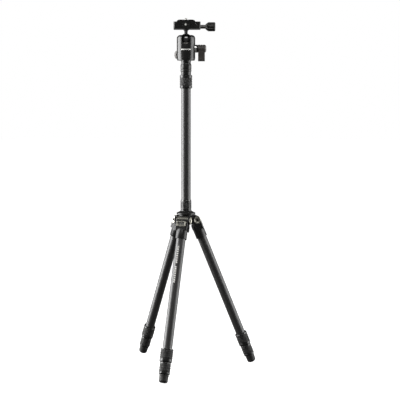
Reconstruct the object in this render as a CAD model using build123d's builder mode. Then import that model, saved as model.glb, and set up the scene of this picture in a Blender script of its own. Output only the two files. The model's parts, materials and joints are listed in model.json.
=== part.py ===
from build123d import *
from math import cos, radians, sin, sqrt
import os

# Travel tripod with a ball head and a quick-release clamp.
# Frame: origin on the floor under the centre column, +Z up the column,
# -Y the side with the head's drop notch, +X the side with the clamp knob.
# All sizes are millimetres.

# ---- stance ---------------------------------------------------------------
LEG_ANGLE = 22.2  # each leg's lean from vertical as it stands
LEG_AZIMUTHS = {"front": -18.3, "right": 101.7, "left": -138.3}  # from -Y towards +X
PIVOT_R = 23.0  # hinge axis to column axis
PIVOT_Z = 353.2  # hinge axis above the floor
LINE_INSET = 2.0  # leg centre line lies this far inside its hinge axis

# ---- leg, distances measured down the leg from abreast of its hinge ---------
CASTING_HALF_WIDTH = 14.6
CASTING_OUTER = 11.3  # outer face from the centre line
CASTING_INNER = 12.4  # widest inner face from the centre line
CASTING_END = 24.8
KNUCKLE_R = 9.3
SLEEVE_R = 13.2
SLEEVE_END = 44.6
SOCKET_START = 27.0
LATCH_WIDTH = 22.6
LATCH_START = 3.8
LATCH_END = 16.4
LATCH_THICK = 4.0
LATCH_PROUD = 0.8
LATCH_POCKET_FLOOR = 4.2

TOP_TUBE_R = 11.0
TOP_TUBE_WALL = 1.25
TOP_TUBE_END = 318.2
MID_TUBE_R = 9.35
MID_TUBE_WALL = 1.2
MID_TUBE_START = 35.0
MID_TUBE_END = 349.2
LOW_TUBE_R = 7.75
LOW_TUBE_WALL = 1.2
LOW_TUBE_START = 55.0
LOW_TUBE_END = 371.0
SHIM_LENGTH = 14.0

UPPER_LOCK = {"r": 14.4, "start": 300.9, "end": 331.9}
LOWER_LOCK = {"r": 12.75, "start": 332.6, "end": 359.4}
GRIP_DEPTH = 1.5
TURN_GAP = 0.12  # a twist lock's radial clearance over its tube
FOOT_START = 359.8
FOOT_TOP_R = 10.9
FOOT_END_R = 10.25
FOOT_ROUND = 5.0

# ---- hub ------------------------------------------------------------------
HUB_BOTTOM = 342.0
HUB_TOP = 365.6
HUB_FLAT = 13.5  # flat between each pair of lugs, from the column axis
HUB_RIM_R = 17.0
HUB_RIM_HEIGHT = 2.8
LEG_SLOT_TOP = 362.6
LUG_INNER = 14.85
LUG_OUTER = 18.9
LUG_R = 8.4
BOLT_R = 3.0
BOLT_HEAD_R = 5.0
BOLT_HEAD_HEIGHT = 1.6
BOLT_SOCKET_R = 2.4
BOLT_SOCKET_DEPTH = 2.6
BOLT_SPLIT = 8.0  # where a hinge bolt meets its barrel nut, past the middle
PIN_GAP = 0.05
FIT_GAP = 0.02  # radial gap of parts pressed or glued together
SHIM_GAP = 0.08  # radial gap of a guide shim in its outer tube
FLANGE_R = 22.0
FLANGE_TOP = 370.1
FLANGE_CONE_TOP = 374.0
HUB_LOCK_R = 12.65
HUB_LOCK_TOP = 399.8
COLLET_R = 12.0
COLLET_TOP = 392.0

# ---- centre column ----------------------------------------------------------
COLUMN_R = 11.0
COLUMN_WALL = 1.2
COLUMN_BOTTOM = 346.0
COLUMN_TOP = 679.6
END_PLUG_FLANGE = 2.4
END_PLUG_DEPTH = 8.0
UPPER_COLUMN_R = 9.3
UPPER_COLUMN_WALL = 1.2
UPPER_COLUMN_BOTTOM = 402.0
UPPER_COLUMN_TOP = 701.0
COLUMN_LOCK = {"r": 14.35, "low": 661.3, "high": 692.2}
PLATFORM_BOTTOM = 692.5
PLATFORM_STEP = 699.8
PLATFORM_TOP = 716.1
PLATFORM_NECK_R = 11.65
PLATFORM_R = 12.65
STUD_R = 4.76  # 3/8 inch head thread
STUD_SEAT = 4.0  # the stud starts this far above the platform's step
STUD_REACH = 12.0

# ---- ball head ----------------------------------------------------------------
PAN_NECK_R = 11.55
TURRET_R = 15.7
TURRET_TOP = 744.0
BODY_R = 21.4
BODY_BOTTOM = 725.9
BODY_TOP = 784.2
BODY_SHOULDER = 7.5
BODY_OPENING_R = 10.2
RECESS_R = 16.0
RECESS_TOP = 744.3
SEAT_FLOOR = 748.5
BALL_Z = 774.0
BALL_R = 14.0
BALL_GAP = 0.15
NOTCH_R = 10.0
NOTCH_BEVEL = 1.8
STEM_R = 3.95
STEM_TOP = 797.8
STEM_NECK_Z = 791.0
STEM_SCREW_R = 2.5
STEM_SCREW_DEPTH = 9.8
STEM_SCREW_HEAD_R = 4.6
STEM_SCREW_HEAD_Z = 803.1
STEM_SCREW_HEAD_HEIGHT = 3.0
STEM_FLARE_R = 9.0
LOCK_AXIS_Z = 753.1
LOCK_SHAFT_R = 3.0
COLLAR_R = 9.0
COLLAR_INNER_X = 19.5
COLLAR_OUTER_X = 28.0
LEVER_HUB_R = 9.3
LEVER_START_X = 28.2
LEVER_END_X = 47.0
LEVER_BLADE_THICK = 15.5
LEVER_BLADE_HALF = 7.4
LEVER_ROUND = 5.0
LEVER_CAP = 6.0  # closed end of the lever's bore
LEVER_GROOVES = (33.0, 38.2)  # grooves over the top of the lever's hub
LEVER_GROOVE_WIDTH = 1.5
LEVER_GROOVE_DEPTH = 1.0
LEVER_TIP_Z = 723.4
PAN_KNOB_Z = 739.5
PAN_KNOB_AZIMUTH = -135.0
PAN_KNOB_R = 10.1
PAN_KNOB_FACE = 21.7
PAN_KNOB_END = 30.0
PAN_SCREW_R = 2.5

# ---- quick-release clamp and camera plate -----------------------------------------
CLAMP_BOTTOM = 798.0
CLAMP_TOP = 813.8
CLAMP_FLOOR = 807.2
CLAMP_LEFT = -28.8
CLAMP_SPLIT = 25.2
CLAMP_RIGHT = 33.5
CLAMP_HALF_LENGTH = 25.0
STEM_SCREW_SEAT = 5.0  # floor under the stem screw's head
BOSS_R = 8.3
BOSS_Z = 805.0
BOSS_PROUD = 2.6
VIAL_R = 4.2
VIAL_X = -0.8
VIAL_DEPTH = 1.8
VIAL_Z = 807.0
DOVETAIL_FOOT = 19.0
DOVETAIL_NECK = 16.3
DOVETAIL_GAP = 0.2
DOVETAIL_SLOPE_LOW = 809.3
DOVETAIL_SLOPE_HIGH = 812.0
PLATE_BOTTOM = 807.5
PLATE_FLANGE = 814.1
PLATE_TOP = 817.8
PLATE_HALF_WIDTH = 21.35
PLATE_TOP_HALF_WIDTH = 16.6
PLATE_HALF_LENGTH = 24.5
PAD_TOP = 818.6
CAMERA_THREAD_R = 3.175  # 1/4 inch camera thread
CAMERA_SHANK_R = 2.9
CAMERA_SCREW_TOP = 823.0
CAMERA_SCREW_HEAD_R = 8.0
CAMERA_SCREW_HEAD_HEIGHT = 3.0
PLATE_SLOT_LENGTH = 34.0
PLATE_SLOT_WIDTH = 17.0
PLATE_SLOT_DEPTH = 3.6
PLATE_TRACK_LENGTH = 24.0
PLATE_TRACK_WIDTH = 6.6
PAD_X = 10.2
PAD_WIDTH = 11.6
KNOB_Z = 803.5
KNOB_R = 10.55
KNOB_NECK_R = 4.4
KNOB_START = 45.3
KNOB_END = 68.0
KNOB_CAP = 8.0  # closed end of the knob's bore
KNOB_FLUTE_R = 2.6
CLAMP_SCREW_R = 3.0
CLAMP_SCREW_TIP = 8.5
GUIDE_PIN_R = 1.5
GUIDE_PIN_Z = 801.6
GUIDE_PIN_Y = 17.0

os.makedirs("parts", exist_ok=True)


def save(piece, name, plane=Plane.XY):
    """Place a finished piece by its plane, label it and write its STEP file."""
    placed = piece.moved(plane.location)
    placed.label = name
    export_step(placed, f"parts/{name}.step")


def lathe(*outline):
    """Turned solid about +Z from an outline of (radius, height) points."""
    with BuildPart() as turned:
        with BuildSketch(Plane.XZ):
            with BuildLine():
                Polyline(*outline, close=True)
            make_face()
        revolve(axis=Axis.Z)
    return turned.part


def sleeve(outer_r, inner_r, low, high):
    """Plain round tube about +Z between two heights."""
    with BuildPart() as tube:
        with BuildSketch(Plane.XY.offset(low)):
            Circle(outer_r)
            Circle(inner_r, mode=Mode.SUBTRACT)
        extrude(amount=high - low)
    return tube.part


def rod(radius, plane, start, end):
    """Round bar along a plane's normal, from start to end."""
    with BuildPart() as bar:
        with BuildSketch(plane.offset(start)):
            Circle(radius)
        extrude(amount=end - start)
    return bar.part


def twist_lock(r, low, high, low_bore, high_bore, step, band_low, band_high):
    """Collar with a grip recess, and a bore that changes radius at step."""
    edge = 1.2
    waist = r - GRIP_DEPTH
    return lathe(
        (low_bore, low),
        (r - edge, low),
        (r, low + edge),
        (r, band_low),
        (waist, band_low),
        (waist, band_high),
        (r, band_high),
        (r, high - edge),
        (r - edge, high),
        (high_bore, high),
        (high_bore, step),
        (low_bore, step),
    )


def grip_band(r, band_low, band_high):
    """Rubber band that fills a collar's recess."""
    return sleeve(r, r - GRIP_DEPTH, band_low + 0.05, band_high - 0.05)


# ==== legs, each piece made once about its own centre line ============================
# Local frame: +Z up the leg, +Y its outer side, +X along the hinge axis,
# origin on the centre line abreast of the hinge.

HINGE_PLANE = Plane(origin=(0, LINE_INSET, 0), x_dir=(0, 1, 0), z_dir=(1, 0, 0))


def leg_plane(azimuth):
    """The leg's local plane, placed round the column."""
    a = radians(azimuth)
    t = radians(LEG_ANGLE)
    outward = Vector(sin(a), -cos(a), 0)
    up_leg = Vector(0, 0, cos(t)) - outward * sin(t)
    normal = outward * cos(t) + Vector(0, 0, sin(t))
    hinge = outward * PIVOT_R + Vector(0, 0, PIVOT_Z)
    return Plane(origin=hinge - normal * LINE_INSET, x_dir=normal.cross(up_leg), z_dir=up_leg)


def foot_end():
    """Distance down the leg that brings the rounded foot just onto the floor."""
    t = radians(LEG_ANGLE)
    line_z = PIVOT_Z - LINE_INSET * sin(t)
    drop = line_z - (FOOT_END_R - FOOT_ROUND) * sin(t) - FOOT_ROUND
    return drop / cos(t) + FOOT_ROUND


def leg_casting():
    """Leg top: knuckle, latch pocket, ribbed cheeks and the tube socket."""
    rib_pitch = 3.6
    with BuildPart() as casting:
        with BuildSketch(Plane.YZ.offset(-CASTING_HALF_WIDTH)):
            with BuildLine():
                Polyline(
                    (CASTING_OUTER, 0),
                    (CASTING_OUTER, -CASTING_END),
                    (-CASTING_INNER, -CASTING_END),
                    (-CASTING_INNER, -18),
                    (-11.4, -13),
                    (-8.4, -10),
                    (-7.1, 0),
                    close=True,
                )
            make_face()
            with Locations((LINE_INSET, 0)):
                Circle(KNUCKLE_R)
        extrude(amount=2 * CASTING_HALF_WIDTH)
        depth = CASTING_OUTER + CASTING_INNER
        with BuildSketch(Plane.XY.offset(-CASTING_END)):
            with Locations((0, CASTING_OUTER - depth / 2)):
                RectangleRounded(2 * CASTING_HALF_WIDTH, depth, 3.0)
        extrude(amount=CASTING_END + KNUCKLE_R + 1, mode=Mode.INTERSECT)
        with BuildSketch(Plane.XY.offset(-SLEEVE_END)):
            Circle(SLEEVE_R)
        extrude(amount=SLEEVE_END - CASTING_END + 2)
        with BuildSketch(Plane.XY.offset(-SLEEVE_END)):
            Circle(TOP_TUBE_R + FIT_GAP)
        extrude(amount=SLEEVE_END - SOCKET_START, mode=Mode.SUBTRACT)
        with BuildSketch(HINGE_PLANE.offset(-CASTING_HALF_WIDTH)):
            Circle(BOLT_R + PIN_GAP)
        extrude(amount=2 * CASTING_HALF_WIDTH, mode=Mode.SUBTRACT)
        middle = -(LATCH_START + LATCH_END) / 2
        with BuildSketch(Plane.XZ.offset(-CASTING_OUTER)):
            with Locations((0, middle)):
                RectangleRounded(LATCH_WIDTH + 0.6, LATCH_END - LATCH_START + 0.6, 1.8)
        extrude(amount=CASTING_OUTER - LATCH_POCKET_FLOOR, mode=Mode.SUBTRACT)
        for side in (-1, 1):
            with BuildSketch(Plane.YZ.offset(side * CASTING_HALF_WIDTH)):
                with Locations((-1, -13)):
                    with GridLocations(rib_pitch, 1, 5, 1):
                        Rectangle(1.3, 21)
            extrude(amount=-side * 0.7, mode=Mode.SUBTRACT)
    return casting.part


def leg_latch():
    """Push latch: a rounded button with a dished face, in the casting's pocket."""
    middle = -(LATCH_START + LATCH_END) / 2
    height = LATCH_END - LATCH_START
    face = CASTING_OUTER + LATCH_PROUD
    with BuildPart() as latch:
        with BuildSketch(Plane.XZ.offset(-face)):
            with Locations((0, middle)):
                RectangleRounded(LATCH_WIDTH, height, 1.6)
        extrude(amount=LATCH_THICK)
        with BuildSketch(Plane.XZ.offset(-face)):
            with Locations((0, middle)):
                RectangleRounded(LATCH_WIDTH - 5.2, height - 5.6, 1.2)
        extrude(amount=1.2, mode=Mode.SUBTRACT)
    return latch.part


def leg_tube(r, wall, start, end):
    """Drawn tube of one leg section."""
    return sleeve(r, r - wall, -end, -start)


def with_shim(tube, r, clear_r, start):
    """A section with its separate guide shim round the hidden upper end."""
    shim = sleeve(clear_r, r + FIT_GAP, -start - SHIM_LENGTH, -start)
    return Compound(children=[tube, shim])


def leg_foot():
    """Rubber foot: a tapered boot with a rounded sole and three grooves."""
    end = foot_end()
    with BuildPart() as foot:
        with BuildSketch(Plane.XZ):
            with BuildLine():
                Polyline(
                    (0, -FOOT_START),
                    (FOOT_TOP_R, -FOOT_START),
                    (FOOT_END_R, -end),
                    (0, -end),
                    close=True,
                )
            make_face()
        revolve(axis=Axis.Z)
        sole = foot.edges().filter_by(GeomType.CIRCLE).sort_by(Axis.Z)[0]
        fillet(sole, radius=FOOT_ROUND)
        with BuildSketch(Plane.XY.offset(-FOOT_START)):
            Circle(LOW_TUBE_R + FIT_GAP)
        extrude(amount=-(LOW_TUBE_END - FOOT_START), mode=Mode.SUBTRACT)
        for depth in (3.0, 5.6, 8.2):
            with BuildSketch(Plane.XY.offset(-FOOT_START - depth)):
                Circle(FOOT_TOP_R + 1)
                Circle(FOOT_TOP_R - 0.8, mode=Mode.SUBTRACT)
            extrude(amount=-0.8, mode=Mode.SUBTRACT)
    return foot.part


def leg_locks():
    """The two twist locks of a leg and their rubber bands."""
    pieces = {}
    rows = (
        ("upper", UPPER_LOCK, MID_TUBE_R, TOP_TUBE_R, TOP_TUBE_END, 3.4, 8.2),
        ("lower", LOWER_LOCK, LOW_TUBE_R, MID_TUBE_R, MID_TUBE_END, 2.8, 6.0),
    )
    for name, lock, inner_tube, outer_tube, outer_end, top_ring, end_ring in rows:
        band_low = -lock["end"] + end_ring
        band_high = -lock["start"] - top_ring
        pieces[f"{name}_lock"] = twist_lock(
            lock["r"],
            -lock["end"],
            -lock["start"],
            inner_tube + TURN_GAP,
            outer_tube + TURN_GAP,
            -outer_end - 0.3,
            band_low,
            band_high,
        )
        pieces[f"{name}_lock_grip"] = grip_band(lock["r"], band_low, band_high)
    return pieces


top_tube = leg_tube(TOP_TUBE_R, TOP_TUBE_WALL, SOCKET_START, TOP_TUBE_END)
mid_tube = leg_tube(MID_TUBE_R, MID_TUBE_WALL, MID_TUBE_START, MID_TUBE_END)
low_tube = leg_tube(LOW_TUBE_R, LOW_TUBE_WALL, LOW_TUBE_START, LOW_TUBE_END)
leg_pieces = {
    "casting": leg_casting(),
    "latch": leg_latch(),
    "top_tube": top_tube,
    "middle_tube": with_shim(mid_tube, MID_TUBE_R, TOP_TUBE_R - TOP_TUBE_WALL - SHIM_GAP, MID_TUBE_START),
    "bottom_tube": with_shim(low_tube, LOW_TUBE_R, MID_TUBE_R - MID_TUBE_WALL - SHIM_GAP, LOW_TUBE_START),
    "foot": leg_foot(),
}
leg_pieces.update(leg_locks())

for leg_name, leg_azimuth in LEG_AZIMUTHS.items():
    for piece_name, leg_piece in leg_pieces.items():
        save(leg_piece, f"{leg_name}_leg_{piece_name}", leg_plane(leg_azimuth))


# ==== hub ============================================================================


def outward_plane(azimuth, height):
    """Plane whose +X runs out from the column at an azimuth, level, +Y along the hinge."""
    a = radians(azimuth)
    return Plane(origin=(0, 0, height), x_dir=(sin(a), -cos(a), 0), z_dir=(0, 0, 1))


def cross_plane(azimuth, offset):
    """Upright plane across the hinge axis: local X outward, local Y up."""
    a = radians(azimuth)
    outward = Vector(sin(a), -cos(a), 0)
    along = Vector(cos(a), sin(a), 0)
    return Plane(origin=along * offset + Vector(0, 0, PIVOT_Z), x_dir=outward, z_dir=-along)


with BuildPart() as hub_spider:
    with BuildSketch(Plane.XY.offset(HUB_BOTTOM)):
        Circle(HUB_FLAT)
    extrude(amount=HUB_TOP - HUB_BOTTOM)
    for azimuth in LEG_AZIMUTHS.values():
        with BuildSketch(cross_plane(azimuth, LUG_OUTER)):
            with Locations((PIVOT_R, 0)):
                Circle(LUG_R)
            with Locations((PIVOT_R / 2, -0.6)):
                Rectangle(PIVOT_R, 2 * LUG_R - 1.2)
        extrude(amount=2 * LUG_OUTER)
    for azimuth in LEG_AZIMUTHS.values():
        with BuildSketch(outward_plane(azimuth, HUB_BOTTOM - 5)):
            with Locations((HUB_FLAT + 20, 0)):
                Rectangle(40, 2 * LUG_INNER)
        extrude(amount=LEG_SLOT_TOP - HUB_BOTTOM + 5, mode=Mode.SUBTRACT)
    with BuildSketch(Plane.XY.offset(HUB_TOP - HUB_RIM_HEIGHT)):
        Circle(HUB_RIM_R)
    extrude(amount=HUB_RIM_HEIGHT)
    with BuildSketch(Plane.XY.offset(HUB_BOTTOM)):
        Circle(COLLET_R + FIT_GAP)
    extrude(amount=HUB_TOP - HUB_BOTTOM, mode=Mode.SUBTRACT)
    for azimuth in LEG_AZIMUTHS.values():
        with BuildSketch(cross_plane(azimuth, LUG_OUTER)):
            with Locations((PIVOT_R, 0)):
                Circle(BOLT_R + FIT_GAP)
        extrude(amount=2 * LUG_OUTER, mode=Mode.SUBTRACT)
        for face in (LUG_OUTER, BOLT_HEAD_HEIGHT - LUG_OUTER):
            with BuildSketch(cross_plane(azimuth, face)):
                with Locations((PIVOT_R, 0)):
                    Circle(BOLT_HEAD_R + 0.1)
            extrude(amount=BOLT_HEAD_HEIGHT, mode=Mode.SUBTRACT)
hub_spider.part.label = "hub_spider"
export_step(hub_spider.part, "parts/hub_spider.step")


def pivot_fastener(azimuth, outer, head_dir, reach):
    """Half of a hinge fastener: a socket head in one lug and its barrel."""
    with BuildPart() as fastener:
        with BuildSketch(cross_plane(azimuth, outer)):
            with Locations((PIVOT_R, 0)):
                Circle(BOLT_HEAD_R)
        extrude(amount=head_dir * BOLT_HEAD_HEIGHT)
        with BuildSketch(cross_plane(azimuth, outer)):
            with Locations((PIVOT_R, 0)):
                Circle(BOLT_R)
        extrude(amount=head_dir * reach)
        with BuildSketch(cross_plane(azimuth, outer)):
            with Locations((PIVOT_R, 0)):
                RegularPolygon(BOLT_SOCKET_R, 6)
        extrude(amount=head_dir * BOLT_SOCKET_DEPTH, mode=Mode.SUBTRACT)
    return fastener.part


bolt_reach = LUG_OUTER + BOLT_SPLIT
nut_reach = 2 * LUG_OUTER - bolt_reach - 0.05
fasteners = []
for leg_azimuth in LEG_AZIMUTHS.values():
    fasteners.append(pivot_fastener(leg_azimuth, LUG_OUTER, 1, bolt_reach))
    fasteners.append(pivot_fastener(leg_azimuth, -LUG_OUTER, -1, nut_reach))
save(Compound(children=fasteners), "pivot_bolts")

save(sleeve(COLLET_R, COLUMN_R + PIN_GAP, HUB_BOTTOM + 1, COLLET_TOP), "hub_collet")

save(
    lathe(
        (COLLET_R + FIT_GAP, HUB_TOP),
        (FLANGE_R - 0.8, HUB_TOP),
        (FLANGE_R, HUB_TOP + 0.8),
        (FLANGE_R, FLANGE_TOP - 0.8),
        (FLANGE_R - 0.8, FLANGE_TOP),
        (FLANGE_R - 2.0, FLANGE_TOP),
        (HUB_LOCK_R + 0.6, FLANGE_CONE_TOP),
        (COLLET_R + FIT_GAP, FLANGE_CONE_TOP),
    ),
    "hub_flange",
)

save(
    lathe(
        (COLLET_R + 0.1, FLANGE_CONE_TOP + 0.2),
        (HUB_LOCK_R, FLANGE_CONE_TOP + 0.2),
        (HUB_LOCK_R, FLANGE_CONE_TOP + 3.0),
        (HUB_LOCK_R - 0.5, FLANGE_CONE_TOP + 3.3),
        (HUB_LOCK_R - 0.5, FLANGE_CONE_TOP + 4.1),
        (HUB_LOCK_R, FLANGE_CONE_TOP + 4.4),
        (HUB_LOCK_R, HUB_LOCK_TOP - 2.4),
        (HUB_LOCK_R - 0.5, HUB_LOCK_TOP - 2.1),
        (HUB_LOCK_R - 0.5, HUB_LOCK_TOP),
        (COLUMN_R + TURN_GAP, HUB_LOCK_TOP),
        (COLUMN_R + TURN_GAP, COLLET_TOP + 0.3),
        (COLLET_R + 0.1, COLLET_TOP + 0.3),
    ),
    "hub_lock",
)

# ==== centre column ======================================================================

save(sleeve(COLUMN_R, COLUMN_R - COLUMN_WALL, COLUMN_BOTTOM, COLUMN_TOP), "column_lower_tube")

save(
    lathe(
        (0, COLUMN_BOTTOM - END_PLUG_FLANGE),
        (COLUMN_R - 0.8, COLUMN_BOTTOM - END_PLUG_FLANGE),
        (COLUMN_R, COLUMN_BOTTOM - END_PLUG_FLANGE + 0.8),
        (COLUMN_R, COLUMN_BOTTOM),
        (COLUMN_R - COLUMN_WALL - FIT_GAP, COLUMN_BOTTOM),
        (COLUMN_R - COLUMN_WALL - FIT_GAP, COLUMN_BOTTOM + END_PLUG_DEPTH),
        (0, COLUMN_BOTTOM + END_PLUG_DEPTH),
    ),
    "column_end_plug",
)

upper_bore = UPPER_COLUMN_R - UPPER_COLUMN_WALL
upper_column = sleeve(UPPER_COLUMN_R, upper_bore, UPPER_COLUMN_BOTTOM, UPPER_COLUMN_TOP)
upper_shim = sleeve(
    COLUMN_R - COLUMN_WALL - SHIM_GAP,
    UPPER_COLUMN_R + FIT_GAP,
    UPPER_COLUMN_BOTTOM,
    UPPER_COLUMN_BOTTOM + SHIM_LENGTH,
)
save(Compound(children=[upper_column, upper_shim]), "column_upper_tube")

column_band = (COLUMN_LOCK["low"] + 6.6, COLUMN_LOCK["high"] - 6.2)
save(
    twist_lock(
        COLUMN_LOCK["r"],
        COLUMN_LOCK["low"],
        COLUMN_LOCK["high"],
        COLUMN_R + TURN_GAP,
        UPPER_COLUMN_R + TURN_GAP,
        COLUMN_TOP + 0.3,
        *column_band,
    ),
    "column_lock",
)
save(grip_band(COLUMN_LOCK["r"], *column_band), "column_lock_grip")

save(
    lathe(
        (0, UPPER_COLUMN_TOP + 0.1),
        (UPPER_COLUMN_R + FIT_GAP, UPPER_COLUMN_TOP + 0.1),
        (UPPER_COLUMN_R + FIT_GAP, PLATFORM_BOTTOM),
        (PLATFORM_NECK_R, PLATFORM_BOTTOM),
        (PLATFORM_NECK_R, PLATFORM_STEP),
        (PLATFORM_R, PLATFORM_STEP + 0.8),
        (PLATFORM_R, PLATFORM_STEP + 4.8),
        (PLATFORM_R - 0.7, PLATFORM_STEP + 5.1),
        (PLATFORM_R - 0.7, PLATFORM_STEP + 6.0),
        (PLATFORM_R, PLATFORM_STEP + 6.3),
        (PLATFORM_R, PLATFORM_TOP - 0.8),
        (PLATFORM_R - 0.8, PLATFORM_TOP),
        (STUD_R + FIT_GAP, PLATFORM_TOP),
        (STUD_R + FIT_GAP, PLATFORM_STEP + STUD_SEAT),
        (0, PLATFORM_STEP + STUD_SEAT),
    ),
    "column_platform",
)

save(rod(STUD_R, Plane.XY, PLATFORM_STEP + STUD_SEAT, PLATFORM_TOP + STUD_REACH), "head_stud")

# ==== ball head ==============================================================================


def x_plane(height):
    """Plane at x = 0 facing +X, centred at a height."""
    return Plane(origin=(0, 0, height), x_dir=(0, 1, 0), z_dir=(1, 0, 0))


save(
    lathe(
        (0, PLATFORM_TOP + STUD_REACH + 0.3),
        (STUD_R + FIT_GAP, PLATFORM_TOP + STUD_REACH + 0.3),
        (STUD_R + FIT_GAP, PLATFORM_TOP + 0.1),
        (PAN_NECK_R + 0.7, PLATFORM_TOP + 0.1),
        (PAN_NECK_R - 0.6, PLATFORM_TOP + 3.9),
        (PAN_NECK_R - 0.6, PLATFORM_TOP + 5.4),
        (PAN_NECK_R, PLATFORM_TOP + 6.0),
        (PAN_NECK_R, BODY_BOTTOM + 0.1),
        (TURRET_R, BODY_BOTTOM + 0.1),
        (TURRET_R, TURRET_TOP - 1.0),
        (TURRET_R - 1.0, TURRET_TOP),
        (0, TURRET_TOP),
    ),
    "pan_base",
)

with BuildPart() as head_housing:
    with BuildSketch(Plane.XY.offset(BODY_BOTTOM)):
        Circle(BODY_R)
    extrude(amount=BODY_TOP - BODY_BOTTOM)
    top_rim = head_housing.edges().sort_by(Axis.Z)[-1]
    fillet(top_rim, radius=BODY_SHOULDER)
    bottom_rim = head_housing.edges().filter_by(GeomType.CIRCLE).sort_by(Axis.Z)[0]
    chamfer(bottom_rim, length=5.0, length2=1.3)
    with BuildSketch(Plane.XY.offset(BODY_BOTTOM)):
        Circle(RECESS_R)
    extrude(amount=RECESS_TOP - BODY_BOTTOM, mode=Mode.SUBTRACT)
    with BuildSketch(Plane.XY.offset(SEAT_FLOOR)):
        Circle(BALL_R + BALL_GAP)
    extrude(amount=BALL_Z - SEAT_FLOOR, mode=Mode.SUBTRACT)
    with Locations((0, 0, BALL_Z)):
        Sphere(BALL_R + BALL_GAP, mode=Mode.SUBTRACT)
    with BuildSketch(Plane.XY.offset(BALL_Z)):
        Circle(BODY_OPENING_R)
    extrude(amount=BODY_TOP - BALL_Z, mode=Mode.SUBTRACT)
    with BuildSketch(Plane.XZ.offset(5)):
        with Locations((0, BALL_Z)):
            Circle(NOTCH_R)
        with Locations((0, BALL_Z + 10)):
            Rectangle(2 * NOTCH_R, 20)
    extrude(amount=BODY_R, mode=Mode.SUBTRACT)
    with BuildSketch(Plane.XZ.offset(BODY_R - NOTCH_BEVEL)):
        with Locations((0, BALL_Z)):
            Circle(NOTCH_R)
        with Locations((0, BALL_Z + 10)):
            Rectangle(2 * NOTCH_R, 20)
    extrude(amount=NOTCH_BEVEL + 1.0, taper=-45, mode=Mode.SUBTRACT)
    with BuildSketch(x_plane(LOCK_AXIS_Z).offset(5)):
        Circle(LOCK_SHAFT_R + PIN_GAP)
    extrude(amount=BODY_R, mode=Mode.SUBTRACT)
    with BuildSketch(x_plane(LOCK_AXIS_Z).offset(COLLAR_INNER_X)):
        Circle(COLLAR_R + 0.05)
    extrude(amount=5, mode=Mode.SUBTRACT)
    pan_axis = radians(PAN_KNOB_AZIMUTH)
    pan_out = (sin(pan_axis), -cos(pan_axis), 0)
    pan_plane = Plane(origin=(0, 0, PAN_KNOB_Z), x_dir=(0, 0, 1), z_dir=pan_out)
    with BuildSketch(pan_plane.offset(10)):
        Circle(PAN_SCREW_R + PIN_GAP)
    extrude(amount=BODY_R, mode=Mode.SUBTRACT)
head_housing.part.label = "head_housing"
export_step(head_housing.part, "parts/head_housing.step")

with BuildPart() as ball_seat:
    with BuildSketch(Plane.XY.offset(SEAT_FLOOR + 0.1)):
        Circle(BALL_R)
    extrude(amount=17.5)
    with Locations((0, 0, BALL_Z)):
        Sphere(BALL_R + BALL_GAP / 2, mode=Mode.SUBTRACT)
    with BuildSketch(x_plane(LOCK_AXIS_Z)):
        Circle(LOCK_SHAFT_R + 0.2)
    extrude(amount=BALL_R + 1, mode=Mode.SUBTRACT)
ball_seat.part.label = "ball_seat"
export_step(ball_seat.part, "parts/ball_seat.step")

with BuildPart() as lock_collar:
    with BuildSketch(x_plane(LOCK_AXIS_Z).offset(COLLAR_INNER_X + 0.05)):
        Circle(COLLAR_R)
        Circle(LOCK_SHAFT_R + PIN_GAP, mode=Mode.SUBTRACT)
    extrude(amount=COLLAR_OUTER_X - COLLAR_INNER_X - 0.05)
    rim = lock_collar.edges().filter_by(GeomType.CIRCLE).sort_by(Axis.X)[-2:]
    chamfer(rim.sort_by(SortBy.LENGTH)[-1], length=0.8)
lock_collar.part.label = "lock_collar"
export_step(lock_collar.part, "parts/lock_collar.step")

save(rod(LOCK_SHAFT_R, x_plane(LOCK_AXIS_Z), 1.0, LEVER_END_X - LEVER_CAP), "lock_shaft")

with BuildPart() as lock_lever:
    with BuildSketch(x_plane(LOCK_AXIS_Z).offset(LEVER_START_X)):
        Circle(LEVER_HUB_R)
    extrude(amount=LEVER_END_X - LEVER_START_X)
    hub_end = lock_lever.edges().sort_by(Axis.X)[-1]
    fillet(hub_end, radius=LEVER_ROUND)
    with BuildSketch(x_plane(LOCK_AXIS_Z).offset(LEVER_START_X)):
        with BuildLine():
            half = LEVER_BLADE_HALF
            tip = LEVER_TIP_Z - LOCK_AXIS_Z
            Polyline((-half - 1, 0), (-half, tip + 5))
            RadiusArc((-half, tip + 5), (half, tip + 5), -8.4)
            Polyline((half, tip + 5), (half + 1, 0), (-half - 1, 0))
        make_face()
    extrude(amount=LEVER_BLADE_THICK)
    with BuildSketch(x_plane(LOCK_AXIS_Z).offset(LEVER_START_X)):
        Circle(LOCK_SHAFT_R + FIT_GAP)
    extrude(amount=LEVER_END_X - LEVER_CAP - LEVER_START_X, mode=Mode.SUBTRACT)
    for groove_x in LEVER_GROOVES:
        with BuildSketch(x_plane(LOCK_AXIS_Z).offset(groove_x)):
            Circle(LEVER_HUB_R + 1)
            Circle(LEVER_HUB_R - LEVER_GROOVE_DEPTH, mode=Mode.SUBTRACT)
            Rectangle(2 * BODY_R, BODY_R, align=(Align.CENTER, Align.MIN), mode=Mode.INTERSECT)
        extrude(amount=LEVER_GROOVE_WIDTH, mode=Mode.SUBTRACT)
lock_lever.part.label = "lock_lever"
export_step(lock_lever.part, "parts/lock_lever.step")

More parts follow.
